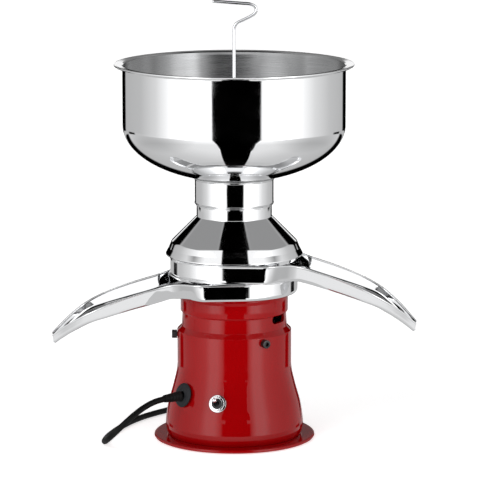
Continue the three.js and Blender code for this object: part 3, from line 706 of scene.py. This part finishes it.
def receiver(name, body, node, radius, bottom, top, drop, turn, holes, funnel, skirt):
    """A round pan with a funnel wall round its middle hole and a long spout.

    The outline runs from the spout's tip along its -Y side, round the pan and back. At each
    of its points a section goes down the wall and inwards to the hole or the spout's middle.
    holes are the middle hole's radii in the outer and inner skin, and funnel and skirt are
    outlines of (r, z).
    """
    def rim(x):
        return top - smooth_between(SPOUT_DROPS, x) * drop

    floors = [(0, bottom), (60, bottom), (76, bottom - 1.6)]
    floors += [(x, rim(x) - wall) for x, wall in SPOUT_WALLS]

    def floor(x):
        return smooth_between(floors, x)

    side = []
    for k in range(SIDE_STEPS):
        x = SPOUT_REACH * (1 - k / SIDE_STEPS)
        width = smooth_between(SPOUT_WIDTHS, x) + (radius - PAN) * max(0, 1 - x / PAN_ENDS)
        side.append((x, width))
    outline = [(x, -w) for x, w in side]
    for k in range(ROUND_STEPS + 1):
        angle = math.radians(-90 - 180 * k / ROUND_STEPS)
        outline.append((radius * math.cos(angle), radius * math.sin(angle)))
    outline += [(x, w) for x, w in reversed(side)]

    def middle(i, x, y, hole):
        """Where a section's floor ends: on the hole's edge, or on the spout's middle line."""
        if x > ROOT:
            return hole + (x - ROOT) / (SPOUT_REACH - ROOT) * (SPOUT_REACH - hole), 0.0
        angle = (math.copysign(90 * (ROOT - x) / ROOT, y) if x > 0
                 else math.degrees(math.atan2(y, x)))
        return hole * math.cos(math.radians(angle)), hole * math.sin(math.radians(angle))

    points, sections = [], []
    last = len(outline) - 1
    for i, (x, y) in enumerate(outline):
        before, after = Vector(outline[max(i - 1, 0)]), Vector(outline[min(i + 1, last)])
        along = (after - before).normalized()
        here, level, height = Vector((x, y)), rim(x), rim(x) - floor(x)
        inward = Vector((along.y, -along.x))
        if (inward.y * y if x > ROOT else inward.dot(here)) > 0:
            inward *= -1
        lean = smooth_between(SPOUT_LEANS, x)
        corner = min(5.0 if x > ROOT else 3.2, height * 0.4)

        def skin(offset, hole):
            """One face of the sheet, from its middle out to the corner and up to the rim."""
            low = floor(x) + offset
            foot = lean * (height - offset) + offset
            round_over = max(corner - offset, 1.2)
            start = here + inward * (foot + round_over)
            centre = Vector(middle(i, x, y, hole))
            if x > ROOT and start.y * y < 0:
                start = Vector((start.x, 0))
            row = []
            for k in range(FLOOR_STEPS):
                spot = centre.lerp(start, k / FLOOR_STEPS)
                row.append((spot.x, spot.y, floor(spot.x) + offset))
            up = here + inward * (lean * (height - offset - round_over) + offset)
            bend = here + inward * foot
            for k in range(CORNER_STEPS + 1):
                t = k / CORNER_STEPS
                spot = start * (1 - t) ** 2 + bend * 2 * t * (1 - t) + up * t * t
                row.append((spot.x, spot.y, low + round_over * t * t))
            for k in range(1, WALL_STEPS + 1):
                t = k / WALL_STEPS
                z = low + round_over + (level - BEAD_HEIGHT - low - round_over) * t
                spot = here + inward * (lean * (level - z) + offset)
                row.append((spot.x, spot.y, z))
            for shift, under in (INNER_BEAD if offset else OUTER_BEAD):
                spot = here + inward * (offset + shift)
                row.append((spot.x, spot.y, level - under))
            return row

        rows = (skin(0, holes[0]), skin(SHEET, holes[1]))
        ring = None
        if x <= ROOT:
            direction = Vector(middle(i, x, y, 1.0))
            ring = [(direction.x * r, direction.y * r, z) for r, z in funnel]
        section = []
        for row in (*rows, ring or []):
            section.append(list(range(len(points), len(points) + len(row))))
            points += row
        sections.append(section)

    faces = []
    for (out_a, in_a, ring_a), (out_b, in_b, ring_b) in zip(sections, sections[1:]):
        for a, b in ((out_a, out_b), (in_a, in_b)):
            faces += [(a[k], a[k + 1], b[k + 1], b[k]) for k in range(len(a) - 1)]
        faces.append((out_a[-1], in_a[-1], in_b[-1], out_b[-1]))
        # The funnel's wall starts and ends on the spout's middle line, where its edges meet.
        if ring_a and ring_b:
            a, b = [in_a[0], *ring_a, out_a[0]], [in_b[0], *ring_b, out_b[0]]
            faces += [(a[k], a[k + 1], b[k + 1], b[k]) for k in range(len(a) - 1)]
    for out, inn, _ in (sections[0], sections[-1]):
        faces += [(out[k], out[k + 1], inn[k + 1], inn[k]) for k in range(len(out) - 1)]
    pan = mesh_object(name, points, faces, 42)
    lower = lathe("skirt", skirt, ROUND)
    pan = merged(name, pan, lower)
    pan.data.shade_smooth()
    pan.data.set_sharp_from_angle(angle=math.radians(42))
    place(pan, Matrix.Rotation(math.radians(turn), 4, "Z"))
    return fitted(pan, body, "polished_metal", node)


def make_receivers():
    receiver("skim_milk_receiver", "skim_pan", "skim_receiver", 75, 177.5, 198, 0.93, 184,
             (29, 31.4), [(31.2, 180.2), (22.6, 189.4), (22.2, 190), (20.8, 190), (28.8, 180.4)],
             [(58.2, 170.4, 0.4), (59.8, 170.4, 0.4), (59.8, 177.6), (58.2, 177.6)])
    receiver("cream_outlet_receiver", "cream_pan", "cream_receiver", 75.7, 198.3, 220.6, 1.05, -4,
             (16.6, 19), [(18.5, 205), (18, 205.6), (17.2, 205.6), (16.8, 205)],
             [(70.8, 195.4, 0.4), (72.5, 195.4, 0.4), (72.5, 198.5), (77.2, 198.4, 0.7),
              (77.2, 199.9, 0.7), (75.4, 200.6), (70.8, 199.2)])


# ---- Cover, float chamber, bowl and stopper ----
def make_cover():
    cover = lathe("receiver_lid", [
        (80.9, 222, 0.2), (80.9, 223.2, 0.4), (77.4, 229.8, 3), (74.2, 237.6, 7),
        (44.4, 267.6, 1.2), (44.4, 280.2, 0.3), (45.3, 280.8, 0.4), (45.3, 281.9, 0.4),
        (43, 282, 0.3), (43, 266.8, 1.2), (72.8, 236.6, 7), (75.6, 229.6, 1), (71.9, 226.4, 0.6),
        (71.9, 216, 0.3), (73.2, 216, 0.3),
        (73.2, 224.4, 0.6), (78.4, 224, 0.5), (79.6, 222, 0.2)], steps=8)
    fitted(cover, "cover", "polished_metal", "receiver_cover")


def make_chamber():
    chamber = lathe("float_chamber_shell", [
        (3, 211), (4.6, 211, 0.3), (4.6, 267.2, 1), (41.6, 267.2, 2), (42.6, 269, 1.5),
        (42.6, 282.4, 0.6), (46.4, 282.4, 0.6), (47.2, 283.3, 0.5), (46.4, 284.2, 0.5),
        (46.4, 311.3, 0.4), (44.9, 311.3, 0.4), (44.9, 284.6, 1), (41.2, 283.4, 1),
        (41.2, 268.6, 2), (3, 268.6, 1)])
    fitted(chamber, "float_chamber", "polished_metal", "float_chamber")
    pieces = [lathe("float_disc", [
        (0, 272), (35.6, 272, 1), (38, 274.4, 1.6), (38, 283.6, 1.6), (34.4, 287, 2.5),
        (9, 290.2, 2), (6.2, 292.4, 0.8), (5.2, 293, 0.6), (0, 293)], MEDIUM)]
    for angle in (0, 120, 240):
        stud = lathe("stud", [(0, 268.9), (2.5, 268.9, 0.5), (2.5, 272.4), (0, 272.4)], 32)
        pieces.append(place(stud, Matrix.Rotation(math.radians(angle), 4, "Z")
                            @ Matrix.Translation((26 * MM, 0, 0))))
    fitted(merged("float_valve", *pieces), "float", "float_plastic", "float")


BOWL = {"foot": 47.3, "radius": 131, "bend": 376, "depth": 66, "wall": 1.5}
BOWL_STEPS = 40


def bowl_curve(inset, steps=BOWL_STEPS):
    """The bowl's turn from its foot up to its straight wall, at a depth inside its skin."""
    radius, depth = BOWL["radius"] - inset, BOWL["depth"] - inset
    start = math.acos(BOWL["foot"] / radius)
    angles = [start * (1 - k / steps) for k in range(steps + 1)]
    return [(radius * math.cos(a), BOWL["bend"] - depth * math.sin(a)) for a in angles]


def make_bowl():
    outside = bowl_curve(0)
    inside = bowl_curve(BOWL["wall"])[::-1]
    outline = rounded([
        (5.5, 303, 0.3), (8.1, 303, 0.3), (8.1, 311.6, 0.5), (42.7, 311.6, 0.4), (42.7, 305, 0.3),
        (44.1, 305, 0.3), (44.1, 311.6, 0.4), (47.4, 311.6, 0.6), (48, 312.8, 0.6), *outside,
        (131, 443.2, 1), (132, 445.2, 1), (136, 445.9, 1), (139.9, 445.7, 0.5), (141, 446.7, 0.5),
        (140.7, 447.9, 0.4), (138.8, 448.2, 0.8), (132, 447.4, 1), (130, 446.4, 0.7),
        (129.5, 443.5, 1), *inside, (45, 314.2, 1), (5.5, 314.2, 0.6)])
    bowl = mesh_object("milk_bowl_shell", *lathe_mesh(outline, 256))
    bowl.data.materials.append(MIRROR)
    bowl.data.materials.append(BRUSHED_INSIDE)
    # The brushed inside: faces below the rim that look towards the axis or up.
    for face in bowl.data.polygons:
        centre, normal = face.center, face.normal
        inside_face = (centre.xy.dot(normal.xy) < -1e-5 and centre.z > 0.312) or (
            normal.z > 0.3 and centre.z < 0.42 and centre.xy.length > 0.006)
        if inside_face and centre.xy.length < 0.1306:
            face.material_index = 1
    # In the cone, the polished bowl would show its surroundings a second time.
    bowl.visible_glossy = False
    fitted(bowl, "bowl", "polished_metal", "milk_bowl", own_materials=True)


ROD_ROUTE = [
    (0, 0, 318), (0, 0, 350), (0, 0, 380), (0, 0, 410), (0, 0, 440), (0, 0, 465), (0, 0, 480),
    (0, 0, 487.5), (1.1, 0, 492.2), (4.2, 0, 495.7), (11, 0, 499.1), (19.1, 0, 503),
    (24.2, 0, 506.6), (25.9, 0, 510.4), (24.3, 0, 514.8), (18.4, 0, 517.6), (12, 0, 518.2),
    (4, 0, 518.8), (-5, 0, 519.4), (-15, 0, 520.2), (-24.5, 0, 520.9)]


def make_stopper():
    plug = lathe("stopper_seal", [
        (0, 305), (4.4, 305, 0.4), (5.1, 314, 0.3), (10.3, 314.5, 0.6), (11, 317.6, 1.2),
        (9.2, 323.6, 2), (5.2, 327, 1), (2.2, 327, 0.3), (2.2, 317.6), (0, 317.6)], MEDIUM)
    fitted(plug, "stopper", "rubber", "stopper_plug")
    rod = bar("stopper_handle", catmull(ROD_ROUTE, 5), 2, 20)
    fitted(rod, "stopper_rod", "chrome", "stopper_rod")


def bar(name, points, radius, sides):
    """A round bar along points in millimetres that lie in one XZ plane, with rounded ends."""
    points = [Vector(p) for p in points]
    first, last = points[0] - points[1], points[-1] - points[-2]
    rings = [(points[0] + first.normalized() * radius * 0.3, 0.6, first * -1)]
    for i, point in enumerate(points):
        along = points[min(i + 1, len(points) - 1)] - points[max(i - 1, 0)]
        rings.append((point, 1.0, along))
    rings.append((points[-1] + last.normalized() * radius * 0.35, 0.8, last))
    rings.append((points[-1] + last.normalized() * radius * 0.6, 0.4, last))
    corners = []
    across = Vector((0, 1, 0))
    for centre, scale, along in rings:
        third = across.cross(along.normalized())
        for k in range(sides):
            angle = 2 * math.pi * k / sides
            corners.append(centre + (across * math.cos(angle) + third * math.sin(angle))
                           * radius * scale)
    faces = [(s * sides + k, s * sides + (k + 1) % sides, (s + 1) * sides + (k + 1) % sides,
              (s + 1) * sides + k) for s in range(len(rings) - 1) for k in range(sides)]
    faces += [tuple(range(sides)), tuple(range(len(corners) - sides, len(corners)))]
    return mesh_object(name, corners, faces, 50)


# ---- Drum ----
def make_drum():
    base = lathe("drum_bottom", [
        (6.6, 137, 0.4), (13, 137, 0.6), (13, 139, 0.6), (48, 139, 1.2), (48, 146, 0.4),
        (45.2, 146), (45.2, 149), (43.6, 149), (43.6, 143.5, 1), (10.6, 143.5, 1),
        (10.6, 147.6, 0.4), (5.6, 147.6)], MEDIUM)
    fitted(base, "rotor", "steel", "drum_base")
    cover = lathe("drum_shell", [
        (48, 149.2, 0.5), (48, 160, 4), (18, 184, 2.4), (18, 196.8, 0.6), (15.2, 196.8, 0.4),
        (15.2, 183, 2), (45.9, 158.6, 3), (45.9, 149.6)], MEDIUM)
    fitted(cover, "rotor", "steel", "drum_cover")
    divider = lathe("cream_divider", [
        (43, 157.7, 0.2), (43, 158.6, 0.2), (14.9, 181.1, 1.4), (14.9, 213.6, 0.5),
        (11.3, 213.6, 0.3), (11.3, 183.4, 1)], MEDIUM)
    notch = block("notch", (13, -1.7, 205.3), (16, 1.7, 208.7), 0.2)
    carved(divider, [notch])
    fitted(divider, "rotor", "steel", "separating_disc")
    nut = lathe("drum_cap_nut", [
        (11.3, 214.1, 0.3), (15, 214.1, 0.5), (15, 219.4, 1), (13.2, 222, 1), (7.1, 222, 0.4),
        (7.1, 219.4), (11.3, 219.4)], MEDIUM)
    slots = []
    for angle in (0, 90):
        cutter = block("slot", (-20, -1.5, 220.4), (20, 1.5, 224), 0.2)
        slots.append(place(cutter, Matrix.Rotation(math.radians(angle), 4, "Z")))
    carved(nut, slots)
    fitted(nut, "rotor", "steel", "drum_nut")


# ---- Nodes that stay as they are ----
def dress_nodes():
    """Gives every CAD node that still shows its material, and rounds its edges a little."""
    slots = {row["node"]: row["material_slot"] for row in frame["record"]["subparts"]}
    for name, obj in frame["nodes"].items():
        if obj.hide_render:
            continue
        for socket in obj.material_slots:
            socket.link = "OBJECT"
            socket.material = MATERIALS[slots[name]]
        edge = obj.modifiers.new("edge", "BEVEL")
        edge.width = 0.0003
        edge.segments = 2
        edge.limit_method = "ANGLE"
        edge.angle_limit = math.radians(30)


# ---- Stage ----
def ramp(shader_tree, value, stops):
    node = shader_tree.nodes.new("ShaderNodeValToRGB")
    shader_tree.links.new(value, node.inputs[0])
    elements = node.color_ramp.elements
    while len(elements) < len(stops):
        elements.new(0.5)
    for element, (position, level) in zip(elements, stops):
        element.position = position
        element.color = (level, level, level, 1)
    return node.outputs[0]


def make_world():
    """A white studio seen in reflections: bright sides, a ceiling and dark gaps in front and
    behind, by direction alone. Seen directly it is plain white."""
    world = bpy.data.worlds.new("studio")
    world.use_nodes = True
    bpy.context.scene.world = world
    tree = world.node_tree
    background = tree.nodes["Background"]

    def node(kind, *inputs, **values):
        made = tree.nodes.new(kind)
        for key, value in values.items():
            setattr(made, key, value)
        for socket, value in enumerate(inputs):
            if isinstance(value, bpy.types.NodeSocket):
                tree.links.new(value, made.inputs[socket])
            else:
                made.inputs[socket].default_value = value
        return made.outputs[0]

    def calc(operation, *inputs):
        return node("ShaderNodeMath", *inputs, operation=operation)

    def blend(factor, first, second):
        return calc("MULTIPLY_ADD", factor, calc("SUBTRACT", second, first), first)

    coordinates = tree.nodes.new("ShaderNodeTexCoord")
    parts = tree.nodes.new("ShaderNodeSeparateXYZ")
    tree.links.new(coordinates.outputs["Generated"], parts.inputs[0])
    x, y, z = parts.outputs
    azimuth = calc("ARCTAN2", x, calc("MULTIPLY", y, -1.0))
    turn = calc("ADD", calc("DIVIDE", azimuth, 2 * math.pi), 0.5)
    height = calc("ADD", calc("MULTIPLY", z, 0.5), 0.5)

    def around(*stops):
        return [(0.5 + degrees / 360, level) for degrees, level in stops]

    def over(level, low, high, soft=0.006):
        """One pattern below a height, which is the direction's Z, and another above it."""
        edge = level / 2 + 0.5
        return blend(ramp(tree, height, [(edge - soft, 0), (edge + soft, 1)]), low, high)

    # Low down: bright boxes at both sides, a dark gap in front and dark lines behind. Each
    # stop is an azimuth in degrees from the front towards +X, and a brightness.
    left = [(-74, 1.1), (-60, 1.5), (-48, 3.0), (-34, 3.0)]
    right = [(38, 3.0), (52, 3.0), (64, 1.5), (78, 1.1)]
    walls = ramp(tree, turn, around(
        (-180, 0.5), (-142, 0.5), (-140, 0), (-127, 0), (-124, 0.6), (-112, 0.6), (-88, 0.8), *left,
        (-24, 1.4), (-21.5, 0.72), (-19.5, 0), (25.5, 0), (27.5, 0.72), (30, 1.4), *right,
        (92, 0.82), (116, 0.6), (124, 0.6), (127, 0), (140, 0), (142, 0.5), (180, 0.5)))
    eye_level = ramp(tree, turn, around(
        (-180, 0), (-152, 0), (-149, 0.5), (-112, 0.56), (-88, 0.78), *left, (-24, 1.4),
        (-21.5, 0.72), (-19.5, 0), (25.5, 0), (27.5, 0.72), (30, 1.4), *right, (92, 0.82),
        (116, 0.6), (149, 0.5), (152, 0), (180, 0)))
    raised = ramp(tree, turn, around(
        (-180, 1), (-161, 1), (-158, 0), (-139, 0), (-136, 0.5), (-112, 0.6), (-88, 0.9), *left,
        (-24, 1.2), (28, 1.2), *right, (90, 0.9), (112, 0.6), (136, 0.5), (139, 0), (158, 0),
        (161, 1), (180, 1)))
    high = ramp(tree, turn, around(
        (-180, 0.2), (-162, 0.2), (-159, 0), (-139, 0), (-136, 0.5), (-112, 0.6), (-88, 0.9), *left,
        (-24, 1.2), (28, 1.2), *right, (90, 0.9), (112, 0.6), (136, 0.5), (139, 0), (159, 0),
        (162, 0.2), (180, 0.2)))
    sides = over(-0.175, walls, eye_level, 0.001)
    sides = over(0.175, over(0.05, sides, raised), high)

    # Overhead: white in front and grey behind, parted by a dark strip.
    depth = calc("MULTIPLY_ADD", y, 0.5, 0.5)
    strip = ramp(tree, calc("MULTIPLY_ADD", calc("MINIMUM", y, 0.0), 0.2,
                            calc("ABSOLUTE", calc("SUBTRACT", x, 0.02))), [(0.19, 0), (0.215, 1)])
    overhead = calc("MULTIPLY", strip, ramp(tree, depth, [(0.3, 1.1), (0.44, 0.32)]))
    sides = over(0.5, sides, overhead, 0.02)

    # The ground: lighter in front, and dark behind where it is seen at a glancing angle.
    below = ramp(tree, depth, [(0, 0.95), (0.25, 0.88), (0.5, 0.68), (0.75, 0.58), (0.885, 0.52),
                               (0.905, 0)])
    flanks = ramp(tree, calc("ABSOLUTE", x), [(0.6, 1), (0.95, 0.66)])
    fade = ramp(tree, height, [(0.26, 1), (0.39, 1.35)])
    below = calc("MULTIPLY", below, calc("MULTIPLY", flanks, fade))
    whole = over(-0.225, below, sides, 0.002)
    path = tree.nodes.new("ShaderNodeLightPath")
    seen = blend(path.outputs["Is Camera Ray"], whole, 1.0)
    tree.links.new(seen, background.inputs["Color"])


def flat_stage(name, corners, color, emission=0.0, faces=None):
    """A panel of the studio, with its corners in metres. It is one face if none are given."""
    mesh = bpy.data.meshes.new(name)
    mesh.from_pydata(corners, [], faces or [tuple(range(len(corners)))])
    obj = link(bpy.data.objects.new(name, mesh))
    material = bpy.data.materials.new(name)
    material.use_nodes = True
    shader = material.node_tree.nodes["Principled BSDF"]
    shader.inputs["Base Color"].default_value = (*color, 1)
    shader.inputs["Roughness"].default_value = 1.0
    shader.inputs["Specular IOR Level"].default_value = 0.0
    shader.inputs["Emission Color"].default_value = (1, 1, 1, 1)
    shader.inputs["Emission Strength"].default_value = emission
    mesh.materials.append(material)
    return obj


STRIP_LEVEL = 0.216  # metres: between the troughs and the bowl
STRIP_EDGE = [
    (0.022, -0.082), (0.035, -0.132), (0.055, -0.204), (0.075, -0.27), (0.15, -0.427),
    (0.39, -0.84), (0.5, -1.045), (0.75, -1.5)]
COLLAR_LEVEL, COLLAR_INNER, COLLAR_OUTER = 0.168, 0.079, 0.114
COLLAR_SIDES = 48
SHELL_INSET = 0.7
SHELL_STEPS = 24
SHELL_SHEET = 0.2
SHELL_GLOW = {"bowl_front": 0, "bowl_round": 0.3, "bowl_lit": 0.5, "bowl_shade": 0.02}
SHELL_FRONT, SHELL_LIT = 62, 105  # degrees to each side of the front
FLOOR = 6
FLOOR_GLOW = 0.62
KEY_PLACE = (-1.3, -1.7, 2.1)
KEY_SLANT = (-1.3, -1.7, 1.9)  # from the point it shines at to the lamp


def overhead_shell():
    """The name, corners, faces and glow of each part of a shell in the shape of the bowl's wall.
    The numbers of an outline in millimetres are metres here, so it is 312 to 447 metres up."""
    middle = [(8, 312.4), *bowl_curve(SHELL_INSET, SHELL_STEPS), (130.2, 447)]
    under = [(r + SHELL_SHEET, z - SHELL_SHEET) for r, z in middle[::-1]]
    points, faces = lathe_mesh(middle + under, MEDIUM)
    sectors = {name: [] for name in SHELL_GLOW}
    for index, face in enumerate(faces):
        centre = sum((Vector(points[corner]) for corner in face), Vector()) / 4
        azimuth = abs(math.degrees(math.atan2(centre.x, -centre.y)))
        if index % len(middle + under) < len(middle):
            name = "bowl_lit" if azimuth < SHELL_LIT else "bowl_shade"
        else:
            name = "bowl_front" if azimuth < SHELL_FRONT else "bowl_round"
        sectors[name].append(face)
    return [(name, points, sectors[name], glow) for name, glow in SHELL_GLOW.items()]


def make_stage():
    square = [(x * FLOOR, y * FLOOR, 0) for x, y in ((-1, -1), (1, -1), (1, 1), (-1, 1))]
    floor = flat_stage("floor", square, (0.9, 0.9, 0.9), FLOOR_GLOW)
    floor.visible_glossy = False
    # Panels that only reflections see: a dark strip under the front of the bowl, a dark board
    # in front of the housing, and a pale collar that keeps the red out of the bowl's underside.
    # The bowl itself is left out of reflections: the shell far overhead gives the cone its even
    # grey and its dark stripe.
    strip = [(x, y, STRIP_LEVEL) for x, y in STRIP_EDGE]
    strip += [(-x * 0.8, y, STRIP_LEVEL) for x, y in reversed(STRIP_EDGE)]
    board = [(x, -0.4, z) for x, z in ((-0.098, 0), (0.14, 0), (0.14, 0.22), (-0.098, 0.22))]
    collar = []
    for radius, order in ((COLLAR_INNER, 1), (COLLAR_OUTER, -1)):
        for k in range(COLLAR_SIDES + 1)[::order]:
            angle = math.radians(360 * k / COLLAR_SIDES)
            collar.append((radius * math.sin(angle), -radius * math.cos(angle), COLLAR_LEVEL))
    panels = [("dark_strip", strip, None, 0), ("dark_board", board, None, 0),
              ("pale_collar", collar, None, 0.6), *overhead_shell()]
    for name, corners, faces, glow in panels:
        panel = flat_stage(name, corners, (0, 0, 0), glow, faces)
        panel.visible_camera = panel.visible_diffuse = panel.visible_shadow = False
        panel.visible_transmission = False
    light = bpy.data.lights.new("key", "AREA")
    light.shape = "DISK"
    light.size = 1.2
    light.energy = 14
    lamp = link(bpy.data.objects.new("key", light))
    lamp.location = KEY_PLACE
    lamp.rotation_euler = Vector(KEY_SLANT).to_track_quat("Z", "Y").to_euler()
    lamp.visible_glossy = False


make_camera()
bpy.context.scene.view_settings.view_transform = "Standard"
cord = make_cord()
cord.visible_glossy = False
make_world()
make_stage()
plug, pins, relief = make_lead_fittings()
fitted(cord, "housing", "cord_rubber", "mains_cord", "cord_coil", "cord_tail")
make_base()
make_screws()
make_switch()
make_receivers()
make_cover()
make_chamber()
make_bowl()
make_stopper()
make_drum()
dress_nodes()
